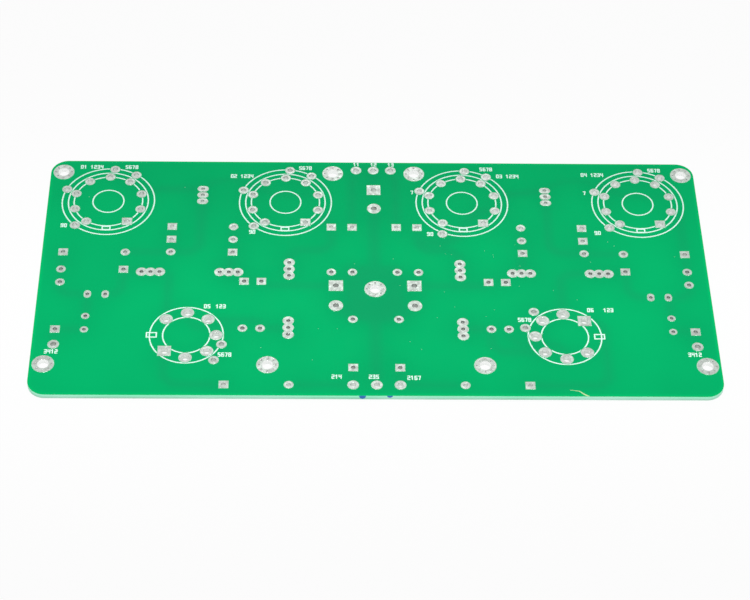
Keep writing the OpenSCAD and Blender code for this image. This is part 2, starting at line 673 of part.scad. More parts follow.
module right_disc_pads() eyelets(right_disc_pads);
module left_regulator_pads() eyelets(regulator_pads(left_regulator_at));
module right_regulator_pads() eyelets(regulator_pads(right_regulator_at));
module rear_terminal_pads() eyelets(rear_terminals);
module front_terminal_pads() eyelets(front_terminals);
module feedback_terminal_pads() eyelets(feedback_terminals);
module first_nine_pin_legend() nine_legend(0);
module second_nine_pin_legend() nine_legend(1);
module third_nine_pin_legend() nine_legend(2);
module fourth_nine_pin_legend() nine_legend(3);
module left_seven_pin_legend() seven_legend(0);
module right_seven_pin_legend() seven_legend(1);
module ground_track() tracks(ground_routes);
module reservoir_track() tracks(reservoir_routes);
module output_tracks() tracks(output_routes);
module supply_tracks() tracks(supply_routes);
module input_tracks() tracks(input_routes);
module grid_tracks() tracks(grid_routes);
module anode_tracks() tracks(anode_routes);
module screen_tracks() tracks(screen_routes);
module cathode_tracks() tracks(cathode_routes);
module seven_pin_heater_tracks() tracks(seven_heater_routes);
module coupling_tracks() tracks(coupling_routes);
module output_cathode_tracks() tracks(output_cathode_routes);
module regulator_tracks() tracks(regulator_routes);
module resistor_bank_tracks() tracks(bank_routes);
module nine_pin_wire_tracks() tracks(nine_wire_routes);
module end_tracks() tracks(end_routes);
module feedback_tracks() tracks(feedback_routes);

laminate();
top_solder_mask();
bottom_solder_mask();
first_nine_pin_pads();
second_nine_pin_pads();
third_nine_pin_pads();
fourth_nine_pin_pads();
left_seven_pin_pads();
right_seven_pin_pads();
left_end_screw_lands();
right_end_screw_lands();
rear_screw_lands();
front_screw_lands();
centre_screw_land();
left_resistor_pads();
right_resistor_pads();
rear_resistor_pads();
anode_resistor_pads();
input_resistor_pads();
reservoir_pads();
left_smoothing_pads();
right_smoothing_pads();
left_film_pads();
right_film_pads();
left_coupling_pads();
right_coupling_pads();
left_disc_pads();
right_disc_pads();
left_regulator_pads();
right_regulator_pads();
rear_terminal_pads();
front_terminal_pads();
feedback_terminal_pads();
first_nine_pin_legend();
second_nine_pin_legend();
third_nine_pin_legend();
fourth_nine_pin_legend();
left_seven_pin_legend();
right_seven_pin_legend();
ground_track();
reservoir_track();
output_tracks();
supply_tracks();
input_tracks();
grid_tracks();
anode_tracks();
screen_tracks();
cathode_tracks();
seven_pin_heater_tracks();
coupling_tracks();
output_cathode_tracks();
regulator_tracks();
resistor_bank_tracks();
nine_pin_wire_tracks();
end_tracks();
feedback_tracks();
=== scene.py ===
# %% [markdown]
# # A bare circuit board
# The board is a drilled sheet of glass-fibre laminate. It has green solder mask on both faces,
# a plated metal eyelet in every hole, and white printed rings where the valve sockets go.
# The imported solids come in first, as a frame that is never moved. Each dressed piece fits them.

# %% Load the frame
import math

import bmesh
import bpy
import numpy as np
from mathutils import Matrix, Vector
from mathutils.geometry import delaunay_2d_cdt


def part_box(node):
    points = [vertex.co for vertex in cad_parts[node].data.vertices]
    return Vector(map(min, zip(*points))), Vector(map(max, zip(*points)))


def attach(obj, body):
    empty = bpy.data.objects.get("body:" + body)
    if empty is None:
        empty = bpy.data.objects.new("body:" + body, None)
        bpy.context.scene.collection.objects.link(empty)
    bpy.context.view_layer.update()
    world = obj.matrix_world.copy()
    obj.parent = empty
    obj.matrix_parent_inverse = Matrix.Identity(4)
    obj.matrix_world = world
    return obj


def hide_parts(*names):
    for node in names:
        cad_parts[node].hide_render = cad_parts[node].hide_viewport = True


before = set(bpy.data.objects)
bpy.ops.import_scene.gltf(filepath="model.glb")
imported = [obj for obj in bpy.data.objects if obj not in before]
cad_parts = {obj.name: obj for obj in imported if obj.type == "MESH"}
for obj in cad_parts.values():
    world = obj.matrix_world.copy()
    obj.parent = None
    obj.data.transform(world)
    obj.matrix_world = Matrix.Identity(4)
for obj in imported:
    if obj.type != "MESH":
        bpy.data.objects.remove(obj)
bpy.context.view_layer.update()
MM = 0.001

# %% [markdown]
# ## Levels
# Everything on a circuit board sits in thin layers, so a few heights place it all. They are read
# from the solids, so that the dressed pieces can't drift away from them.

# %% Read the levels from the solids
laminate_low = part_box("laminate")[0][2]
laminate_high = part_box("laminate")[1][2]
mask_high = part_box("top_solder_mask")[1][2]
pad_low, pad_high = (corner[2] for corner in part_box("reservoir_pads"))
HALF_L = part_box("laminate")[1][0]
HALF_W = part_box("laminate")[1][1]
print("levels in mm:", [round(z / MM, 3) for z in (pad_low, laminate_low, laminate_high,
                                                   mask_high, pad_high)])

# %% [markdown]
# ## Camera
# The board is seen from the front and from above with a long lens, so its sides hardly converge.
# A camera can be aimed by angles or by a target. Here three unit vectors say where its right, up and
# back point, because they also keep a slight roll.

# %% Place the camera
SENSOR_WIDTH = 36.0
LENS = 110.3
CAMERA_PLACE = Vector((-15.602, -443.229, 481.19)) * MM
camera_data = bpy.data.cameras.new("camera")
camera_data.sensor_width = SENSOR_WIDTH
camera_data.lens = LENS
camera_data.clip_start = 0.05
camera = bpy.data.objects.new("camera", camera_data)
bpy.context.collection.objects.link(camera)
camera_right = Vector((0.99970243, -0.01267034, 0.020845))
camera_up = Vector((-0.00456859, 0.74215489, 0.67021283))
camera_back = Vector((-0.02396205, -0.67010863, 0.74187616))
camera_turn = Matrix((camera_right, camera_up, camera_back)).transposed().to_4x4()
camera.matrix_world = Matrix.Translation(CAMERA_PLACE) @ camera_turn
bpy.context.scene.camera = camera
bpy.context.scene.view_settings.view_transform = "Standard"
print("camera at", [round(c, 3) for c in CAMERA_PLACE])

# %% [markdown]
# ## Node helpers
# A material is a small tree of nodes. These helpers add a node, set it and join it up, so that each
# finish below reads as a short list. Noise is read in Object coordinates, which have the same scale
# on every piece.


# %% Helpers for materials
def new_material(name):
    material = bpy.data.materials.new(name)
    material.use_nodes = True
    material.node_tree.nodes.clear()
    return material, material.node_tree


def add_node(tree, kind, **settings):
    node = tree.nodes.new(kind)
    for key, value in settings.items():
        setattr(node, key, value)
    return node


def shader_of(tree):
    """A Principled shader that is joined to the material's output."""
    shader = add_node(tree, "ShaderNodeBsdfPrincipled")
    output = add_node(tree, "ShaderNodeOutputMaterial")
    tree.links.new(shader.outputs["BSDF"], output.inputs["Surface"])
    return shader


def noise(tree, scale, detail=2.0, stretch=(1.0, 1.0, 1.0)):
    """Noise in Object coordinates, with scale in features per metre."""
    coordinates = add_node(tree, "ShaderNodeTexCoord")
    mapping = add_node(tree, "ShaderNodeMapping")
    mapping.inputs["Scale"].default_value = stretch
    texture = add_node(tree, "ShaderNodeTexNoise")
    texture.inputs["Scale"].default_value = scale
    texture.inputs["Detail"].default_value = detail
    tree.links.new(coordinates.outputs["Object"], mapping.inputs["Vector"])
    tree.links.new(mapping.outputs["Vector"], texture.inputs["Vector"])
    return texture.outputs["Fac"]


def height_in(tree, space):
    """The Z of a place, in Object or Generated coordinates."""
    coordinates = add_node(tree, "ShaderNodeTexCoord")
    split = add_node(tree, "ShaderNodeSeparateXYZ")
    tree.links.new(coordinates.outputs[space], split.inputs["Vector"])
    return split.outputs["Z"]


def spread(tree, value, low, high, out_low=0.0, out_high=1.0):
    """Turns values from low to high into values from out_low to out_high, and no further."""
    node = add_node(tree, "ShaderNodeMapRange")
    for name, number in (("From Min", low), ("From Max", high), ("To Min", out_low),
                         ("To Max", out_high)):
        node.inputs[name].default_value = number
    tree.links.new(value, node.inputs["Value"])
    return node.outputs["Result"]


def blend_colours(tree, factor, first, second):
    """A mix of two colours. Either can be three numbers or a socket."""
    node = add_node(tree, "ShaderNodeMix", data_type="RGBA")
    tree.links.new(factor, node.inputs["Factor"])
    for socket, colour in ((node.inputs[6], first), (node.inputs[7], second)):
        if isinstance(colour, tuple):
            socket.default_value = (*colour, 1.0)
        else:
            tree.links.new(colour, socket)
    return node.outputs[2]


def blend_shaders(tree, factor, first, second):
    """A mix of two shaders. The factor can be a number or a socket."""
    node = add_node(tree, "ShaderNodeMixShader")
    if isinstance(factor, float):
        node.inputs["Fac"].default_value = factor
    else:
        tree.links.new(factor, node.inputs["Fac"])
    tree.links.new(first, node.inputs[1])
    tree.links.new(second, node.inputs[2])
    return node.outputs["Shader"]


def either(tree, first, second):
    """1 where one of two sockets gives 1."""
    node = add_node(tree, "ShaderNodeMath", operation="MAXIMUM")
    tree.links.new(first, node.inputs[0])
    tree.links.new(second, node.inputs[1])
    return node.outputs[0]


def attribute(tree, name):
    """A number that is stored on the points of a piece."""
    return add_node(tree, "ShaderNodeAttribute", attribute_name=name).outputs["Fac"]


def bump(tree, shader, height, strength, distance):
    """Makes a shader look uneven, by up to distance in metres."""
    node = add_node(tree, "ShaderNodeBump")
    node.inputs["Strength"].default_value = strength
    node.inputs["Distance"].default_value = distance
    tree.links.new(height, node.inputs["Height"])
    tree.links.new(node.outputs["Normal"], shader.inputs["Normal"])


print("helpers for materials are ready")

# %% [markdown]
# ## Floor and light
# The floor is plain white to the camera and keeps a faint shadow of the board. It has no back and
# takes no part in bounced light, so that the underside of the board can be looked at from below.
# The lower half of the sky is brighter instead, as a white table would be. The light is a
# pale sky, a long soft lamp over the front half whose beam falls off towards the rear, and a panel
# behind the board that the tin mirrors. Together they are at a level where a colour renders about
# as it is written.

# %% Make the floor
FLOOR_SIZE = 6.0
FLOOR_COLOUR = (0.9, 0.9, 0.9, 1.0)
GLOW_SHARE = 0.92
bpy.ops.mesh.primitive_plane_add(size=FLOOR_SIZE, location=(0, 0, 0))
floor = bpy.context.object
floor.name = "floor"
floor_material, tree = new_material("floor_white")
matt = add_node(tree, "ShaderNodeBsdfDiffuse")
matt.inputs["Color"].default_value = FLOOR_COLOUR
glow = add_node(tree, "ShaderNodeEmission")
glow.inputs["Strength"].default_value = 1.0
white = blend_shaders(tree, GLOW_SHARE, matt.outputs["BSDF"], glow.outputs["Emission"])
path = add_node(tree, "ShaderNodeLightPath")
mirrored = either(tree, path.outputs["Is Transmission Ray"], path.outputs["Is Glossy Ray"])
seen = either(tree, path.outputs["Is Camera Ray"], mirrored)
upper_side = blend_shaders(tree, seen, matt.outputs["BSDF"], white)
geometry = add_node(tree, "ShaderNodeNewGeometry")
no_surface = add_node(tree, "ShaderNodeBsdfTransparent")
one_sided = blend_shaders(tree, geometry.outputs["Backfacing"], upper_side,
                          no_surface.outputs["BSDF"])
output = add_node(tree, "ShaderNodeOutputMaterial")
tree.links.new(one_sided, output.inputs["Surface"])
floor.data.materials.append(floor_material)
floor.visible_diffuse = False
print("floor:", FLOOR_SIZE, "m wide")

# %% Make the light
SKY_LEVEL = 0.66
TABLE_LEVEL = 0.95
HORIZON = 0.02
world = bpy.data.worlds.new("pale_sky")
bpy.context.scene.world = world
world.use_nodes = True
sky = world.node_tree.nodes["Background"]
sky.inputs["Color"].default_value = (1.0, 1.0, 1.0, 1.0)
sky_height = height_in(world.node_tree, "Generated")
level = spread(world.node_tree, sky_height, -HORIZON, HORIZON, TABLE_LEVEL, SKY_LEVEL)
world.node_tree.links.new(level, sky.inputs["Strength"])


def soft_lamp(name, place, target, size, watts, beam):
    """An area lamp of length and depth size, whose light stays within beam degrees."""
    data = bpy.data.lights.new(name, "AREA")
    data.shape = "RECTANGLE"
    data.size, data.size_y = size
    data.energy = watts
    data.spread = math.radians(beam)
    lamp = bpy.data.objects.new(name, data)
    lamp.location = place
    aim = Vector(target) - lamp.location
    lamp.rotation_euler = aim.to_track_quat("-Z", "Y").to_euler()
    bpy.context.collection.objects.link(lamp)


soft_lamp("front_lamp", place=(0.0, -0.26, 0.55), target=(0.0, -0.012, 0.0), size=(0.3, 0.05),
          watts=0.048, beam=18.0)
soft_lamp("rear_panel", place=(0.02, 0.75, 0.80), target=(0.0, 0.0, 0.0), size=(0.3, 0.3),
          watts=0.5, beam=180.0)
print("light:", [light.name for light in bpy.data.lights], "and", world.name)

# %% [markdown]
# ## Outlines from the solids
# The pads and the drilled sheet have to match the solids to a few hundredths of a millimetre.
# So their outlines are read from the solids' own top faces, and round ones are drawn again with
# more points, because the solids' circles are coarse.

# %% Read the outlines of a node's top faces
CIRCLE_POINTS = 40
ROUND_ENOUGH = 0.004 * MM
FEWEST_ROUND = 6
SAME_POINT = 1e-7
SAME_LEVEL = 1e-5
FACING_UP = 0.9


def face_loops(node, z):
    """Ordered loops round the faces at height z. An outer loop runs anticlockwise."""
    shape = bmesh.new()
    shape.from_mesh(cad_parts[node].data)
    bmesh.ops.remove_doubles(shape, verts=shape.verts, dist=SAME_POINT)
    level = {f for f in shape.faces
             if f.normal.z > FACING_UP and abs(f.calc_center_median().z - z) < SAME_LEVEL}
    following = {}
    for face in level:
        for corner in face.loops:
            if not any(f in level for f in corner.edge.link_faces if f is not face):
                following[corner.vert.index] = corner.link_loop_next.vert.index
    points = {v.index: (v.co.x, v.co.y) for v in shape.verts}
    shape.free()
    loops = []
    while following:
        start, after = following.popitem()
        chain = [start]
        while after != start:
            chain.append(after)
            after = following.pop(after)
        loops.append(np.array([points[i] for i in chain]))
    return loops


def area_of(loop):
    """The area of a loop, which is negative where it runs clockwise."""
    x, y = loop[:, 0], loop[:, 1]
    return 0.5 * float(np.sum(x * np.roll(y, -1) - y * np.roll(x, -1)))


def circle(centre, radius):
    """An anticlockwise circle."""
    angles = np.arange(CIRCLE_POINTS) * (2 * math.pi / CIRCLE_POINTS)
    return np.array(centre) + radius * np.stack([np.cos(angles), np.sin(angles)], axis=1)


def fit_circle(loop):
    """(centre, radius) of a round loop, or None."""
    if len(loop) < FEWEST_ROUND:
        return None
    rows = np.column_stack([2 * loop, np.ones(len(loop))])
    answer = np.linalg.lstsq(rows, (loop ** 2).sum(axis=1), rcond=None)[0]
    radius = math.sqrt(answer[2] + answer[0] ** 2 + answer[1] ** 2)
    off = np.abs(np.linalg.norm(loop - answer[:2], axis=1) - radius).max()
    return (answer[:2], radius) if off < ROUND_ENOUGH else None


def offset(loop, distance):
    """An anticlockwise loop pushed outwards, or inwards by a negative distance."""
    step = np.roll(loop, -1, axis=0) - loop
    side = np.stack([step[:, 1], -step[:, 0]], axis=1)
    side /= np.linalg.norm(side, axis=1)[:, None]
    before = np.roll(side, 1, axis=0)
    mitre = (side + before) / (1 + (side * before).sum(axis=1))[:, None]
    return loop + distance * mitre


laminate_loops = face_loops("laminate", laminate_high)
print("loops on top of the laminate:", len(laminate_loops))

# %% [markdown]
# ## Eyelets
# Each hole is lined by metal: a pad on each face and a barrel between them. Pads that overlap, and
# a screw land with its ring of small holes, are one eyelet with several holes. Molten tin leaves
# the edges of the pad and the mouth of the hole softly rounded, so each pad here gets a small
# rounding. An eyelet is described by its outline and its holes.

# %% Collect the eyelets of every node
EYELET_NODES = [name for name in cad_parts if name.endswith(("_pads", "_lands", "_land"))]


def eyelets_of(node):
    """[(outline, [(centre, radius), ...]), ...] for one node."""
    loops = face_loops(node, pad_high)
    outers = [loop for loop in loops if area_of(loop) > 0]
    holes = [fit_circle(loop) for loop in loops if area_of(loop) < 0]
    found = []
    for loop in outers:
        low, high = loop.min(axis=0), loop.max(axis=0)
        own_holes = [h for h in holes if (h[0] > low).all() and (h[0] < high).all()]
        fitted = fit_circle(loop)
        found.append((circle(*fitted) if fitted else loop, own_holes))
    return found


eyelets = {node: eyelets_of(node) for node in EYELET_NODES}
print("eyelets:", sum(len(group) for group in eyelets.values()), "in", len(eyelets), "nodes")

# %% [markdown]
# ## Filling a drilled shape
# A sheet with holes could be cut by a boolean for each hole, but this board has hundreds of them.
# It is filled instead by a constrained Delaunay triangulation: that keeps every outline as an edge
# and makes well-shaped triangles between them. Triangles inside a hole are dropped, and the rest
# is given a thickness.

# %% Fill and thicken
ALL_TRIANGLES = 0
SAME_SPOT = 1e-6


def inside(points, loop):
    """Which points lie inside a closed loop."""
    x, y = points[:, 0], points[:, 1]
    result = np.zeros(len(points), bool)
    for (x1, y1), (x2, y2) in zip(loop, np.roll(loop, -1, axis=0)):
        if y1 != y2:
            crosses = ((y1 > y) != (y2 > y)) & (x < (x2 - x1) * (y - y1) / (y2 - y1) + x1)
            result ^= crosses
    return result


def triangulated(loops, extra=()):
    """Points, anticlockwise triangles between the loops, and the triangles' centres."""
    points, edges = [], []
    for loop in loops:
        first = len(points)
        points += [tuple(p) for p in loop]
        edges += [(first + i, first + (i + 1) % len(loop)) for i in range(len(loop))]
    points += [tuple(p) for p in extra]
    points_mm = [Vector(p) / MM for p in points]
    result = delaunay_2d_cdt(points_mm, edges, [], ALL_TRIANGLES, SAME_SPOT)
    spots = np.array([tuple(v) for v in result[0]]) * MM
    triangles = np.array([f for f in result[2] if len(f) == 3])
    a, b, c = (spots[triangles[:, i]] for i in range(3))
    turned = (b[:, 0] - a[:, 0]) * (c[:, 1] - a[:, 1]) < (c[:, 0] - a[:, 0]) * (b[:, 1] - a[:, 1])
    triangles[turned] = triangles[turned][:, ::-1]
    return spots, triangles, spots[triangles].mean(axis=1)


def fill(outer, holes, extra=()):
    """A flat shape with holes."""
    spots, triangles, centres = triangulated([outer, *holes], extra)
    keep = inside(centres, outer)
    for loop in holes:
        low, high = loop.min(axis=0), loop.max(axis=0)
        near = np.where(((centres > low) & (centres < high)).all(axis=1))[0]
        keep[near[inside(centres[near], loop)]] = False
    return spots, triangles[keep]


def cover(shapes):
    """What several overlapping flat shapes cover together."""
    spots, triangles, centres = triangulated(shapes)
    return spots, triangles[np.any([inside(centres, shape) for shape in shapes], axis=0)]


def thicken(spots, triangles, low, high):
    """A closed slab over a filled shape: vertices and faces."""
    count = len(spots)
    verts = [(x, y, low) for x, y in spots] + [(x, y, high) for x, y in spots]
    faces = [tuple(int(i) for i in t[::-1]) for t in triangles]
    faces += [tuple(int(i) + count for i in t) for t in triangles]
    border = {}
    for a, b, c in triangles.tolist():
        for edge in ((a, b), (b, c), (c, a)):
            if edge[::-1] in border:
                del border[edge[::-1]]
            else:
                border[edge] = True
    faces += [(a, b, b + count, a + count) for a, b in border]
    return verts, faces


def piece_from(name, verts, faces, material, node, slot):
    """A new object that stands for one node of the solids."""
    mesh = bpy.data.meshes.new(name)
    mesh.from_pydata(verts, [], faces)
    mesh.validate()
    mesh.materials.append(material)
    piece = bpy.data.objects.new(name, mesh)
    bpy.context.collection.objects.link(piece)
    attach(piece, "root")
    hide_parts(node)
    return piece


washer = fill(circle((0, 0), 2 * MM), [circle((0, 0), MM)])
print("a thick washer would have", len(thicken(*washer, 0.0, MM)[1]), "faces")

# %% [markdown]
# ## Finishes
# Solder mask is a thin green lacquer. On the top face its colour carries painted light and shade:
# a painted glow over bare laminate and near the board's edge, and painted shade over copper on the
# far side and round the pads, standing in for light through the laminate that the copper blocks, so
# the tracks show through faintly. Underneath, the lacquer lies right on the tracks and is brighter
# there, so that side reads its colour from its own height: it stands lower over a track. Tin is a
# soft grey metal with a slightly uneven skin; the walls of its holes carry painted light and shade.
# The cut edge of the laminate shows its layers of glass cloth.

# %% Solder mask
MASK_GREEN = (0.0, 0.463, 0.145)
# Darker green for a random cloudy tone, and for painted shade round the metal
MASK_DARK_TONE_AND_SHADE = (0.001, 0.342, 0.116)
# Painted shadow of the tracks on the far side
MASK_PAINTED_TRACK_SHADOW = (0.006, 0.325, 0.126)
# Painted glow near the board's edge, where light gets into the lacquer
MASK_PAINTED_EDGE_GLOW = (0.0, 0.51, 0.148)
MASK_ON_TRACK = (0.012, 0.44, 0.13)
MASK_ON_GLASS = (0.0, 0.25, 0.085)


def mask_material(name, reads_board):
    """Green lacquer. It reads either what the board says at each point, or its own height."""
    material, tree = new_material(name)
    shader = shader_of(tree)
    cloudy = spread(tree, noise(tree, 30.0, 3.0), 0.3, 0.7, 0.15, 0.45)
    if reads_board:
        # Painted shade round the metal and a painted glow over bare laminate, mixed with a cloudy
        # tone
        around = spread(tree, attribute(tree, "metal_around"), 0.0, 0.5, -0.1, 0.65)
        shade = add_node(tree, "ShaderNodeMath", operation="ADD", use_clamp=True)
        tree.links.new(around, shade.inputs[0])
        tree.links.new(cloudy, shade.inputs[1])
        colour = blend_colours(tree, shade.outputs[0], MASK_GREEN, MASK_DARK_TONE_AND_SHADE)
        # Painted shadow of the tracks on the far side
        over = spread(tree, attribute(tree, "over_copper"), 0.0, 1.0, 0.0, 0.45)
        colour = blend_colours(tree, over, colour, MASK_PAINTED_TRACK_SHADOW)
        # Painted glow near the board's edge
        colour = blend_colours(tree, attribute(tree, "near_edge"), colour, MASK_PAINTED_EDGE_GLOW)
    else:
        flat = spread(tree, height_in(tree, "Object"), 0.2 * laminate_low, 0.5 * laminate_low)
        colour = blend_colours(tree, flat, MASK_ON_TRACK, MASK_ON_GLASS)
        colour = blend_colours(tree, cloudy, colour, MASK_DARK_TONE_AND_SHADE)
    tree.links.new(colour, shader.inputs["Base Color"])
    roughness = spread(tree, noise(tree, 300.0), 0.3, 0.7, 0.34, 0.46)
    tree.links.new(roughness, shader.inputs["Roughness"])
    shader.inputs["Specular IOR Level"].default_value = 0.02
    bump(tree, shader, noise(tree, 900.0, 3.0), 0.15, 0.00004)
    return material


top_mask_material = mask_material("top_mask_green", True)
bottom_mask_material = mask_material("bottom_mask_green", False)
print("solder masks:", top_mask_material.name, bottom_mask_material.name)

# %% Tin, copper and ink
TIN_DULL = (0.545, 0.6, 0.55)
TIN_PALE = (0.7, 0.785, 0.725)
TIN_PAINTED_LIGHT = (0.97, 0.98, 0.97)
TIN_PAINTED_SHADE = (0.08, 0.08, 0.073)
COPPER_DARK = (0.72, 0.38, 0.22)
COPPER_LIGHT = (0.80, 0.48, 0.30)
INK_DULL = (0.66, 0.98, 0.86)
INK_BRIGHT = (0.82, 1.0, 0.93)
tin_material, tree = new_material("tin_grey")
shader = shader_of(tree)
shader.inputs["Metallic"].default_value = 1.0
patches = spread(tree, noise(tree, 700.0, 3.0), 0.35, 0.65)
tin = blend_colours(tree, patches, TIN_DULL, TIN_PALE)
painted_wall_light_and_shade = attribute(tree, "painted_wall_light_and_shade")
# Painted light on the walls of some holes
tin = blend_colours(tree, spread(tree, painted_wall_light_and_shade, 0.0, -1.0), tin, TIN_PAINTED_LIGHT)
# Painted shade on the walls of others, as a narrow hole is dark inside
tin = blend_colours(tree, spread(tree, painted_wall_light_and_shade, 0.0, 1.0), tin, TIN_PAINTED_SHADE)
tree.links.new(tin, shader.inputs["Base Color"])
tree.links.new(spread(tree, noise(tree, 1500.0), 0.3, 0.7, 0.3, 0.5), shader.inputs["Roughness"])
bump(tree, shader, noise(tree, 1100.0, 3.0), 0.35, 0.00008)

copper_material, tree = new_material("copper_foil")
shader = shader_of(tree)
shader.inputs["Metallic"].default_value = 1.0
patches = spread(tree, noise(tree, 500.0, 3.0), 0.3, 0.7)
tree.links.new(blend_colours(tree, patches, COPPER_DARK, COPPER_LIGHT), shader.inputs["Base Color"])
shader.inputs["Roughness"].default_value = 0.4

legend_material, tree = new_material("legend_white")
shader = shader_of(tree)
patches = spread(tree, noise(tree, 1200.0, 3.0), 0.35, 0.65)
tree.links.new(blend_colours(tree, patches, INK_DULL, INK_BRIGHT), shader.inputs["Base Color"])
shader.inputs["Roughness"].default_value = 0.6
shader.inputs["Specular IOR Level"].default_value = 0.2
bump(tree, shader, noise(tree, 2500.0), 0.3, 0.00003)
print("metals and ink:", tin_material.name, copper_material.name, legend_material.name)

# %% Laminate
GLASS_LOW = (0.26, 0.62, 0.42)
GLASS_HIGH = (0.27, 0.92, 0.58)
GLASS_BAND = (0.47, 0.91, 0.68)
GLASS_PALE = (0.57, 0.85, 0.76)
laminate_material, tree = new_material("laminate_edge")
shader = shader_of(tree)
height = spread(tree, height_in(tree, "Object"), laminate_low, laminate_high)
upper = spread(tree, height, 0.42, 0.62)
bands = spread(tree, noise(tree, 400.0, 2.0, (0.25, 0.25, 16.0)), 0.35, 0.65, 0.0, 0.45)
colour = blend_colours(tree, upper, GLASS_LOW, GLASS_HIGH)
colour = blend_colours(tree, bands, colour, GLASS_BAND)
paler = spread(tree, noise(tree, 22.0, 2.0, (1.0, 1.0, 0.2)), 0.42, 0.68, 0.0, 0.75)
colour = blend_colours(tree, paler, colour, GLASS_PALE)
tree.links.new(colour, shader.inputs["Base Color"])
shader.inputs["Roughness"].default_value = 0.55
shader.inputs["Specular IOR Level"].default_value = 0.3
bump(tree, shader, noise(tree, 3000.0, 2.0, (0.3, 0.3, 4.0)), 0.3, 0.00005)
print("finishes:", [m.name for m in bpy.data.materials])

# %% [markdown]
# ## Eyelet shapes
# One eyelet is a closed ring: a rounded pad on top, the wall of the hole, and the same pad
# underneath. A bevel modifier could round it. Here the rings of the rounding are placed one by one,
# with the outline moved inwards and the holes outwards a little, so that the faces stay few.

# %% Build one eyelet
PLATING = 0.05 * MM
ROUNDING = 0.035 * MM
ROUND_STEPS = 2


def eyelet_mesh(outline, holes):
    """Vertices and faces of one eyelet, whose parts share no vertices with each other."""
    verts, faces = [], []

    def add_ring(loop, z):
        first = len(verts)
        verts.extend((float(x), float(y), z) for x, y in loop)
        return first

    def join(lower, upper, count):
        for i in range(count):
            j = (i + 1) % count
            faces.append((lower + i, lower + j, upper + j, upper + i))

    def cap(outer, inner, z, flip):
        spots, triangles = fill(outer, inner)
        first = len(verts)
        verts.extend((float(x), float(y), z) for x, y in spots)
        faces.extend(tuple(first + int(i) for i in (t[::-1] if flip else t)) for t in triangles)

    turn = [math.pi / 2 * k / ROUND_STEPS for k in range(ROUND_STEPS + 1)]
    sides = [(pad_low + ROUNDING * (1 - math.sin(a)), ROUNDING * (1 - math.cos(a)))
             for a in reversed(turn)]
    tops = [(pad_high - ROUNDING * (1 - math.sin(a)), ROUNDING * (1 - math.cos(a))) for a in turn]
    flanges = ([*sides, (laminate_low, 0.0)], [(laminate_high, 0.0), *tops])
    for flange in flanges:
        rings = [add_ring(offset(outline, -inset), z) for z, inset in flange]
        for lower, upper in zip(rings, rings[1:]):
            join(lower, upper, len(outline))
    for centre, radius in holes:
        rings = [add_ring(circle(centre, radius + inset)[::-1], z) for z, inset in [*sides, *tops]]
        for lower, upper in zip(rings, rings[1:]):
            join(lower, upper, CIRCLE_POINTS)
        low_ring = add_ring(circle(centre, radius + PLATING), laminate_low)
        join(low_ring, add_ring(circle(centre, radius + PLATING), laminate_high), CIRCLE_POINTS)
    mouths = [circle(centre, radius + ROUNDING) for centre, radius in holes]
    barrels = [circle(centre, radius + PLATING) for centre, radius in holes]
    cap(offset(outline, -ROUNDING), mouths, pad_high, False)
    cap(offset(outline, -ROUNDING), mouths, pad_low, True)
    cap(outline, barrels, laminate_high, True)
    cap(outline, barrels, laminate_low, False)
    return verts, faces


def template_of(outline, holes):
    """A key that is the same for equal eyelets, the middle, and the eyelet moved to the origin."""
    middle = (outline.min(axis=0) + outline.max(axis=0)) / 2
    moved = [(np.array(c) - middle, r) for c, r in holes]
    size = outline.max(axis=0) - outline.min(axis=0)
    key = (len(outline), len(holes), *(round(float(s) / MM, 2) for s in size),
           round(float(holes[0][1]) / MM, 2))
    return key, middle, outline - middle, moved


first_outline, first_holes = eyelets["reservoir_pads"][0]
print("faces of one eyelet before it is welded:", len(eyelet_mesh(first_outline, first_holes)[1]))

# %% [markdown]
# ## Stamping the eyelets with Geometry Nodes
# The board repeats a few eyelets many times. A Geometry Nodes tree puts one template on every
# point it is given, so a group of pads is a handful of points. The tree has named inputs for the
# template, its size and its finish. It ends in Realize Instances and Set Material, so that what
# comes out is a plain mesh.

# %% Build the stamping tree
TRUE_SIZE = 1.0
stamp_tree = bpy.data.node_groups.new("stamp_on_points", "GeometryNodeTree")
sockets = stamp_tree.interface
sockets.new_socket("Geometry", in_out="INPUT", socket_type="NodeSocketGeometry")
template_input = sockets.new_socket("Template", in_out="INPUT", socket_type="NodeSocketObject")
size_input = sockets.new_socket("Size", in_out="INPUT", socket_type="NodeSocketFloat")
size_input.default_value = TRUE_SIZE
finish_input = sockets.new_socket("Finish", in_out="INPUT", socket_type="NodeSocketMaterial")
sockets.new_socket("Geometry", in_out="OUTPUT", socket_type="NodeSocketGeometry")
enter = add_node(stamp_tree, "NodeGroupInput")
leave = add_node(stamp_tree, "NodeGroupOutput")
info = add_node(stamp_tree, "GeometryNodeObjectInfo")
place_copies = add_node(stamp_tree, "GeometryNodeInstanceOnPoints")
realize = add_node(stamp_tree, "GeometryNodeRealizeInstances")
paint = add_node(stamp_tree, "GeometryNodeSetMaterial")
link = stamp_tree.links.new
link(enter.outputs["Geometry"], place_copies.inputs["Points"])
link(enter.outputs["Template"], info.inputs["Object"])
link(info.outputs["Geometry"], place_copies.inputs["Instance"])
link(enter.outputs["Size"], place_copies.inputs["Scale"])
link(place_copies.outputs["Instances"], realize.inputs["Geometry"])
link(realize.outputs["Geometry"], paint.inputs["Geometry"])
link(enter.outputs["Finish"], paint.inputs["Material"])
link(paint.outputs["Geometry"], leave.inputs["Geometry"])
print("tree:", stamp_tree.name, "with", len(stamp_tree.nodes), "nodes")

# %% Stamp a template on points
WELD = 0.0005 * MM


def hidden_object(name, verts, faces):
    """An object that isn't in any collection yet."""
    mesh = bpy.data.meshes.new(name)
    mesh.from_pydata(verts, [], faces)
    return bpy.data.objects.new(name, mesh)


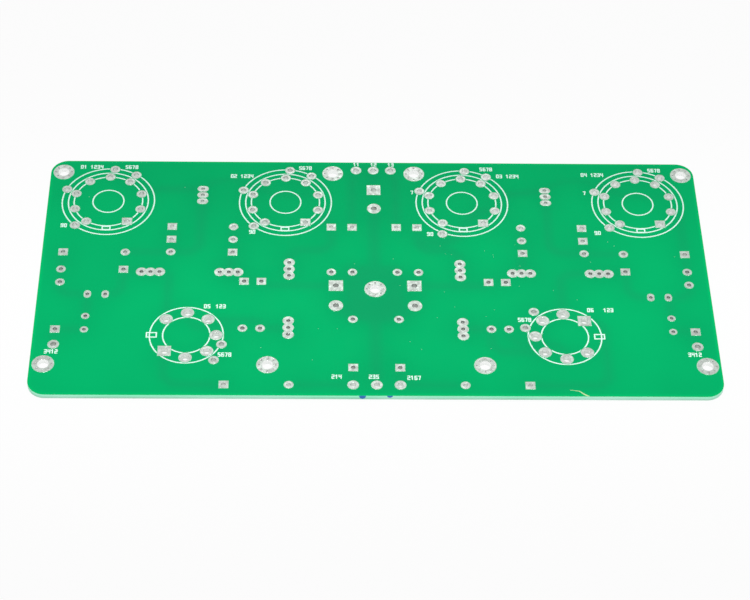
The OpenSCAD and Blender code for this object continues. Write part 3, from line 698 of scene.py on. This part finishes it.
def evaluated_mesh(piece):
    """The mesh that a piece's modifiers make, as a plain mesh."""
    graph = bpy.context.evaluated_depsgraph_get()
    return bpy.data.meshes.new_from_object(piece.evaluated_get(graph))


def stamp(points, template, finish):
    """A plain mesh with the template at every point, which the stamping tree makes."""
    carrier = hidden_object("carrier", points, [])
    bpy.context.collection.objects.link(carrier)
    bpy.context.collection.objects.link(template)
    modifier = carrier.modifiers.new("stamp", "NODES")
    modifier.node_group = stamp_tree
    modifier[template_input.identifier] = template
    modifier[size_input.identifier] = TRUE_SIZE
    modifier[finish_input.identifier] = finish
    mesh = evaluated_mesh(carrier)
    bpy.data.objects.remove(carrier)
    bpy.data.objects.remove(template)
    return mesh


def joined(meshes):
    """Several meshes as one list of vertices and one of faces."""
    verts, faces = [], []
    for mesh in meshes:
        first = len(verts)
        verts += [tuple(v.co) for v in mesh.vertices]
        faces += [tuple(first + i for i in p.vertices) for p in mesh.polygons]
        bpy.data.meshes.remove(mesh)
    return verts, faces


def weld(piece):
    """Joins vertices that meet, and turns every face outwards."""
    shape = bmesh.new()
    shape.from_mesh(piece.data)
    bmesh.ops.remove_doubles(shape, verts=shape.verts, dist=WELD)
    bmesh.ops.recalc_face_normals(shape, faces=shape.faces)
    shape.to_mesh(piece.data)
    shape.free()
    return piece


print("inputs of a stamp:", template_input.name, size_input.name, finish_input.name)

# %% [markdown]
# ## Light in the holes
# The walls of the holes aren't all alike. Some get painted light, as the small stitching holes do,
# and others get painted shade, as shade falls inside a narrow hole. Each point of an eyelet stores
# how dark its wall is painted, and the tin reads that number. It is stored on the points, because a
# texture in Object coordinates can't tell a wall from the pad round it.

# %% How dark the walls of the holes are
# Limits between the kinds of hole, as radii in millimetres
STITCH_R = 0.3
LEAD_R = 0.7
NINE_PIN_R = 0.78
TERMINAL_R = 0.9
# Places along a side of the board or radii, in millimetres, and the shade at each of them
LEAD_SHADES = ((-41, -35, 3, 8, 13, 18, 30), (-0.2, 0.43, 0.43, 0.2, -0.07, -0.35, 0.05))
NINE_PIN_SHADES = ((-77, -25, 25, 77), (-0.12, 0.04, -0.4, -0.56))
TERMINAL_SHADES = ((12, 27, 41), (0.5, 0.35, -0.2))
WIDE_SHADES = ((1.0, 1.6), (-0.6, -1.0))
FOOT_SHADES = ((0.8, 1.0, 1.6), (0.0, 0.75, 0.35))
FRONT_WIRE_SHADE = 0.2
WALL_MARGIN = 0.01 * MM


def wall_shade(centre, radius):
    """From 1, a wall darkened by painted shade, to -1, one brightened by painted light."""
    x, y = centre / MM
    r = radius / MM
    if r < STITCH_R:
        return -1.0
    if r < LEAD_R:
        return np.interp(y, *LEAD_SHADES)
    if r < NINE_PIN_R:
        return np.interp(x, *NINE_PIN_SHADES) if y > 0 else FRONT_WIRE_SHADE
    if r < TERMINAL_R:
        return np.interp(abs(y), *TERMINAL_SHADES)
    return np.interp(r, *WIDE_SHADES)


def mark_walls(piece, holes):
    """Stores the painted light and shade of each hole's wall. A wide hole's foot gets more painted
    shade.
    """
    corners = np.array([tuple(v.co) for v in piece.data.vertices])
    nearness_to_foot = 1 - (corners[:, 2] - pad_low) / (pad_high - pad_low)
    shades = np.zeros(len(corners), np.float32)
    for centre, radius in holes:
        wall = np.linalg.norm(corners[:, :2] - centre, axis=1) < radius + WALL_MARGIN
        foot = np.interp(radius / MM, *FOOT_SHADES)
        shades[wall] = wall_shade(centre, radius) + foot * nearness_to_foot[wall]
    piece.data.attributes.new("painted_wall_light_and_shade", "FLOAT", "POINT").data.foreach_set("value", shades)


all_radii = sorted({round(float(r) / MM, 2) for group in eyelets.values()
                    for outline, holes in group for centre, r in holes})
print("radii of the holes in mm:", all_radii)

# %% Make every eyelet
eyelet_faces = 0
for node, group in eyelets.items():
    kinds = {}
    for outline, holes in group:
        key, middle, shape, moved = template_of(outline, holes)
        if key not in kinds:
            kinds[key] = (shape, moved, [])
        kinds[key][2].append((float(middle[0]), float(middle[1]), 0.0))
    meshes = []
    for shape, moved, points in kinds.values():
        template = hidden_object("template", *eyelet_mesh(shape, moved))
        meshes.append(stamp(points, template, tin_material))
    piece = weld(piece_from("dressed_" + node, *joined(meshes), tin_material, node,
                            "tinned_copper"))
    mark_walls(piece, [hole for outline, holes in group for hole in holes])
    eyelet_faces += len(piece.data.polygons)
print("eyelet faces:", eyelet_faces)

# %% [markdown]
# ## Top solder mask
# The mask is one thin sheet with an opening round every pad. It is filled again here on a fine
# grid, so that each point can carry three numbers of painted light and shade: a painted glow by
# how near it is to the edge of the board, where light gets into the lacquer, a painted shadow
# where a track lies below it on the far side, and painted shade by how much metal there is around
# it. The last two stand in for light through the laminate that the copper blocks. They come from
# maps of the board, which are blurred because the laminate between scatters the light.

# %% The edge of the board
QUARTER_STEPS = 12
ON_SIDE = 1e-6
corner_r = HALF_W - max(float(abs(v.co.y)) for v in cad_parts["laminate"].data.vertices
                        if abs(abs(v.co.x) - HALF_L) < ON_SIDE)


def board_edge(inset):
    """The rounded outline of the board, moved inwards."""
    radius = corner_r - inset
    points = []
    for quarter, (sx, sy) in enumerate(((1, 1), (-1, 1), (-1, -1), (1, -1))):
        centre = np.array((sx * (HALF_L - corner_r), sy * (HALF_W - corner_r)))
        for k in range(QUARTER_STEPS + 1):
            angle = math.pi / 2 * (quarter + k / QUARTER_STEPS)
            points.append(centre + radius * np.array((math.cos(angle), math.sin(angle))))
    return np.array(points)


def subdivided(loop, spacing):
    """A loop with more points along its long stretches."""
    points = []
    for start, step in zip(loop, np.roll(loop, -1, axis=0) - loop):
        count = max(1, int(np.linalg.norm(step) / spacing))
        points += [start + step * k / count for k in range(count)]
    return np.array(points)


def edge_distance(points):
    """How far each point lies inside the rounded outline."""
    q = np.abs(points) - np.array((HALF_L - corner_r, HALF_W - corner_r))
    outside = np.linalg.norm(np.maximum(q, 0), axis=1)
    return corner_r - (outside + np.minimum(q.max(axis=1), 0))


print("corner radius in mm:", round(corner_r / MM, 2))

# %% Where the copper is
CELL = 0.25 * MM
NEAR_BLUR = 0.8 * MM
WIDE_BLUR = 3.5 * MM
BELL_REACH = 3
TRACK_SHARE = 0.4
columns = int(2 * HALF_L / CELL) + 1
rows = int(2 * HALF_W / CELL) + 1


def mark(board_map, shape):
    """Sets to 1 the cells of a map that lie inside a flat shape."""
    low = np.floor((shape.min(axis=0) + (HALF_L, HALF_W)) / CELL).astype(int)
    high = np.ceil((shape.max(axis=0) + (HALF_L, HALF_W)) / CELL).astype(int) + 1
    gx, gy = np.meshgrid(np.arange(low[0], high[0]), np.arange(low[1], high[1]))
    spots = np.stack([gx.ravel() * CELL - HALF_L, gy.ravel() * CELL - HALF_W], axis=1)
    hit = inside(spots, shape)
    board_map[gy.ravel()[hit], gx.ravel()[hit]] = 1.0


def blurred(board_map, width):
    """A map smoothed by a bell curve, first along one side and then along the other."""
    reach = int(BELL_REACH * width / CELL)
    bell = np.exp(-0.5 * (np.arange(-reach, reach + 1) * CELL / width) ** 2)
    bell /= bell.sum()
    for axis in (0, 1):
        board_map = np.apply_along_axis(np.convolve, axis, board_map, bell, "same")
    return board_map


track_map = np.zeros((rows, columns))
for node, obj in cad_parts.items():
    if node.endswith(("_track", "_tracks")):
        mesh = obj.data
        for polygon in mesh.polygons:
            if polygon.normal.z > FACING_UP:
                mark(track_map, np.array([mesh.vertices[i].co[:2] for i in polygon.vertices]))
metal_map = track_map * TRACK_SHARE
for node in EYELET_NODES:
    if node.endswith("_pads"):
        for outline, holes in eyelets[node]:
            mark(metal_map, outline)
# Blurred maps for the painted shadow of the tracks and the painted shade round the metal
over_copper = blurred(track_map, NEAR_BLUR)
metal_around = blurred(metal_map, WIDE_BLUR)
print("tracks cover %.1f%% of the board" % (100 * track_map.mean()))

# %% Make the top mask
MASK_GAP = 0.075 * MM
GRID = 1.25 * MM
GRID_TO_EDGE = 1.6 * MM
GRID_TO_PAD = 0.3 * MM
EDGE_STEP = 1.5 * MM
EDGE_RINGS = (0.25 * MM, 0.5 * MM, 0.8 * MM, 1.2 * MM)
EDGE_GLOW = 1.1 * MM
openings = [offset(outline, MASK_GAP) for group in eyelets.values() for outline, holes in group]


def clear_of_pads(points, margin):
    """Which points stand clear of the box round every opening."""
    free = np.ones(len(points), bool)
    for loop in openings:
        low, high = loop.min(axis=0) - margin, loop.max(axis=0) + margin
        free &= ~((points > low) & (points < high)).all(axis=1)
    return free


across = np.arange(-HALF_L, HALF_L, GRID)
along = np.arange(-HALF_W, HALF_W, GRID)
grid = np.stack(np.meshgrid(across, along), axis=-1).reshape(-1, 2)
grid = grid[edge_distance(grid) > GRID_TO_EDGE]
grid = grid[clear_of_pads(grid, GRID_TO_PAD)]
rings = np.concatenate([subdivided(board_edge(inset), EDGE_STEP) for inset in EDGE_RINGS])
edge_points = subdivided(board_edge(0), EDGE_STEP)
spots, triangles = fill(edge_points, openings, [*grid, *rings])
top_mask = piece_from("dressed_top_mask", *thicken(spots, triangles, laminate_high, mask_high),
                      top_mask_material, "top_solder_mask", "solder_mask")
corners = np.concatenate([spots, spots])
cells = ((corners + (HALF_L, HALF_W)) / CELL).round().astype(int)
cells = np.clip(cells, 0, (columns - 1, rows - 1))
# Painted shadow, painted shade and a painted glow, stored on the points of the mask
for name, values in (("over_copper", over_copper[cells[:, 1], cells[:, 0]]),
                     ("metal_around", metal_around[cells[:, 1], cells[:, 0]]),
                     ("near_edge", np.clip(1 - edge_distance(corners) / EDGE_GLOW, 0, 1))):
    layer = top_mask.data.attributes.new(name, "FLOAT", "POINT")
    layer.data.foreach_set("value", values.astype(np.float32))
print("top mask faces:", len(top_mask.data.polygons))

# %% [markdown]
# ## Laminate
# The laminate is a drilled sheet. Each hole is as wide as the barrel of its eyelet, which fills it.
# The same outline and filling are used as for the mask, so the two edges meet exactly.

# %% Make the laminate
drilled = [circle(centre, radius + PLATING) for group in eyelets.values()
           for outline, holes in group for centre, radius in holes]
laminate = piece_from("dressed_laminate",
                      *thicken(*fill(edge_points, drilled), laminate_low, laminate_high),
                      laminate_material, "laminate", "laminate")
print("laminate faces:", len(laminate.data.polygons))

# %% [markdown]
# ## Printed numbers
# The legend has small numbers beside the sockets and terminals. A digit is a few strokes on a
# grid, like the lettering of a pen plotter: each stroke is a flat bar with round ends. The bars of
# a digit overlap, so they are merged into one shape first, and the stamping tree then puts that
# digit in every place that needs it.

# %% Digits as strokes
INK_T = 0.02 * MM
DIGIT_H = 1.22 * MM
DIGIT_W = 0.54 * MM
ADVANCE = 0.97 * MM
STROKE_W = 0.31 * MM
END_STEPS = 4
# Each text is one stroke, as corners. A corner is a column from 0 to 2 and a row from 0 to 4.
DIGITS = {
    "0": ["00 20 24 04 00"],
    "1": ["03 14 10"],
    "2": ["04 24 22 02 00 20"],
    "3": ["04 24 20 00", "02 22"],
    "4": ["04 02 22", "24 20"],
    "5": ["24 04 02 22 20 00"],
    "6": ["24 04 00 20 22 02"],
    "7": ["04 24 10"],
    "8": ["00 20 24 04 00", "02 22"],
    "9": ["22 02 04 24 20 00"],
}
# (left side of the first digit, place across the board, text), in millimetres
NUMBERS = [
    (-86.3, 42.5, "01 1234"), (-41.9, 39.0, "02 1234"), (36.5, 39.5, "03 1234"),
    (61.7, 40.3, "04 1234"), (-73.1, 42.5, "5678"), (-21.8, 42.5, "5678"), (31.7, 42.4, "5678"),
    (81.7, 42.3, "5678"), (-43.5, -30.5, "5678"), (39.9, -17.25, "5678"), (-90.4, 18.5, "90"),
    (-36.0, 16.25, "90"), (15.4, 15.75, "90"), (64.0, 16.5, "90"), (11.0, 32.6, "7"),
    (61.8, 32.7, "7"), (-5.75, 44.12, "11"), (-0.65, 44.12, "12"), (4.45, 44.12, "13"),
    (-91.2, -29.6, "3412"), (86.4, -29.9, "3412"), (-47.9, -12.7, "05"), (-44.6, -12.7, "123"),
    (59.6, -13.5, "06"), (64.2, -13.5, "123"), (-12.2, -38.3, "214"), (-2.0, -38.3, "235"),
    (8.5, -38.6, "2167"),
]


def bar(start, end):
    """One stroke: a flat bar with round ends, as an anticlockwise loop."""
    heading = math.atan2(end[1] - start[1], end[0] - start[0])
    loop = []
    for middle, first in ((end, heading - math.pi / 2), (start, heading + math.pi / 2)):
        for k in range(END_STEPS + 1):
            angle = first + math.pi / END_STEPS * k
            loop.append((middle[0] + STROKE_W / 2 * math.cos(angle),
                         middle[1] + STROKE_W / 2 * math.sin(angle)))
    return np.array(loop)


def digit_shape(strokes):
    """A digit as a slab of ink: vertices and faces."""
    bars = []
    for stroke in strokes:
        ends = [(int(c[0]) / 2 * DIGIT_W, (int(c[1]) / 4 - 0.5) * DIGIT_H) for c in stroke.split()]
        bars += [bar(a, b) for a, b in zip(ends, ends[1:])]
    return thicken(*cover(bars), 0.0, INK_T)


print("digits known:", " ".join(DIGITS))

# %% Print the numbers
sign_places = {}
for left, middle, text in NUMBERS:
    for position, sign in enumerate(text):
        if sign in DIGITS:
            spot = (left * MM + position * ADVANCE, middle * MM, mask_high)
            sign_places.setdefault(sign, []).append(spot)
printed = []
for sign, sign_spots in sorted(sign_places.items()):
    template = hidden_object("digit_" + sign, *digit_shape(DIGITS[sign]))
    printed.append(stamp(sign_spots, template, legend_material))
mesh = bpy.data.meshes.new("printed_numbers")
verts, faces = joined(printed)
mesh.from_pydata(verts, [], faces)
mesh.materials.append(legend_material)
numbers = bpy.data.objects.new("printed_numbers", mesh)
bpy.context.collection.objects.link(numbers)
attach(numbers, "root")
print("digits:", sum(map(len, sign_places.values())), "with", len(faces), "faces")

# %% [markdown]
# ## Wear
# The board carries the marks of handling: two dabs of blue marker on the front edge, a short
# scratch through the mask near it, and a few specks of dust. They could be painted into the
# finishes, but a thin piece for each keeps a sharp outline however close the camera comes.

# %% Finishes of the wear
blue_material, tree = new_material("marker_blue")
shader = shader_of(tree)
tree.links.new(blend_colours(tree, noise(tree, 900.0), (0.03, 0.13, 0.42), (0.06, 0.22, 0.55)),
               shader.inputs["Base Color"])
shader.inputs["Roughness"].default_value = 0.5
shader.inputs["Specular IOR Level"].default_value = 0.1
scratch_material, tree = new_material("scratched_mask")
shader = shader_of(tree)
tree.links.new(blend_colours(tree, noise(tree, 1500.0), (0.42, 0.72, 0.28), (0.70, 0.86, 0.48)),
               shader.inputs["Base Color"])
shader.inputs["Roughness"].default_value = 0.7
dust_material, tree = new_material("dust")
shader = shader_of(tree)
shader.inputs["Base Color"].default_value = (0.55, 0.85, 0.68, 1.0)
shader.inputs["Roughness"].default_value = 0.9
print("wear:", blue_material.name, scratch_material.name, dust_material.name)

# %% Marks on the front edge
MARK_T = 0.012 * MM
DAB_POINTS = 17
# Left end, right end and depth of each dab, in millimetres
DABS = (("left_blue_mark", (-4.89, -2.99, 1.35)), ("right_blue_mark", (2.7, 4.33, 0.8)))


def plain_piece(name, verts, faces, material):
    """A new object that stands for no node of the solids."""
    piece = hidden_object(name, verts, faces)
    piece.data.materials.append(material)
    bpy.context.collection.objects.link(piece)
    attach(piece, "root")
    return weld(piece)


def prism_faces(count):
    """Two caps and the sides between two equal loops of count points each."""
    faces = [tuple(range(count))[::-1], tuple(range(count, 2 * count))]
    faces += [(i, (i + 1) % count, (i + 1) % count + count, i + count) for i in range(count)]
    return faces


def edge_mark(left, right, depth):
    """A dab on the front edge: flat along the top, level with the mask, and round below."""
    middle, reach = (left + right) / 2, (right - left) / 2
    curve = [(middle + reach * math.cos(a), -depth * math.sin(a))
             for a in np.linspace(0, math.pi, DAB_POINTS)]
    verts = [(x * MM, y, mask_high + MARK_T + z * MM) for y in (-HALF_W, -HALF_W - MARK_T)
             for x, z in curve]
    return verts, prism_faces(DAB_POINTS)


for name, dab in DABS:
    plain_piece(name, *edge_mark(*dab), blue_material)
print("dabs of marker:", len(DABS))

# %% Scratch
SCRATCH_T = 0.008 * MM
# (place along the board, place across it, width), in millimetres. It runs off the front edge.
SCRATCH = [(52.59, -42.73, 0.08), (53.95, -42.94, 0.16), (55.16, -43.15, 0.24),
           (55.8, -43.71, 0.32), (56.57, -44.34, 0.38), (57.35, -44.83, 0.42), (57.8, -44.98, 0.3)]
line = np.array(SCRATCH) * MM
heading = np.gradient(line[:, :2], axis=0)
sideways = np.stack([-heading[:, 1], heading[:, 0]], axis=1)
sideways /= np.linalg.norm(sideways, axis=1)[:, None]
left_side = line[:, :2] + sideways * line[:, 2:] / 2
right_side = line[:, :2] - sideways * line[:, 2:] / 2
outline = np.concatenate([right_side, left_side[::-1]])
outline[:, 1] = np.maximum(outline[:, 1], -HALF_W)
if area_of(outline) < 0:
    outline = outline[::-1]
plain_piece("scratch", *thicken(*fill(outline, []), mask_high, mask_high + SCRATCH_T),
            scratch_material)
print("scratch: drawn through", len(SCRATCH), "places")

# %% Dust
DUST_TO_PAD = 0.6 * MM
GRAIN_SIDES = 6
GRAIN_REACH = (0.09 * MM, 0.07 * MM)
GRAIN_T = 0.02 * MM
# Lower corner, upper corner and number of specks of two regions, in millimetres
DUST_REGIONS = (((5, -22), (62, 12), 26), ((-90, -40), (90, 40), 22))
rng = np.random.default_rng(7)
dust = [rng.uniform(low, high, (count, 2)) for low, high, count in DUST_REGIONS]
dust = np.concatenate(dust) * MM
dust = dust[clear_of_pads(dust, DUST_TO_PAD)]
grain = [(GRAIN_REACH[0] * math.cos(a), GRAIN_REACH[1] * math.sin(a), z) for z in (0.0, GRAIN_T)
         for a in np.arange(GRAIN_SIDES) * math.tau / GRAIN_SIDES]
specks = stamp([(float(x), float(y), mask_high) for x, y in dust],
               hidden_object("grain", grain, prism_faces(GRAIN_SIDES)), dust_material)
plain_piece("dust_specks", *joined([specks]), dust_material)
print("specks of dust:", len(dust))

# %% [markdown]
# ## The solids that stay
# The printed rings, the copper tracks and the lower mask are already right as solids, so they only
# get their finish. Copper is a warm metal, and it hardly shows, because the mask covers it.

# %% Finish the solids that stay
finished = []
for node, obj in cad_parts.items():
    if node.endswith("_legend"):
        finish = legend_material
    elif node.endswith(("_track", "_tracks")):
        finish = copper_material
    elif node == "bottom_solder_mask":
        finish = bottom_mask_material
    else:
        continue
    obj.data.materials.clear()
    obj.data.materials.append(finish)
    finished.append(node)
print("finished", len(finished), "nodes as they are")
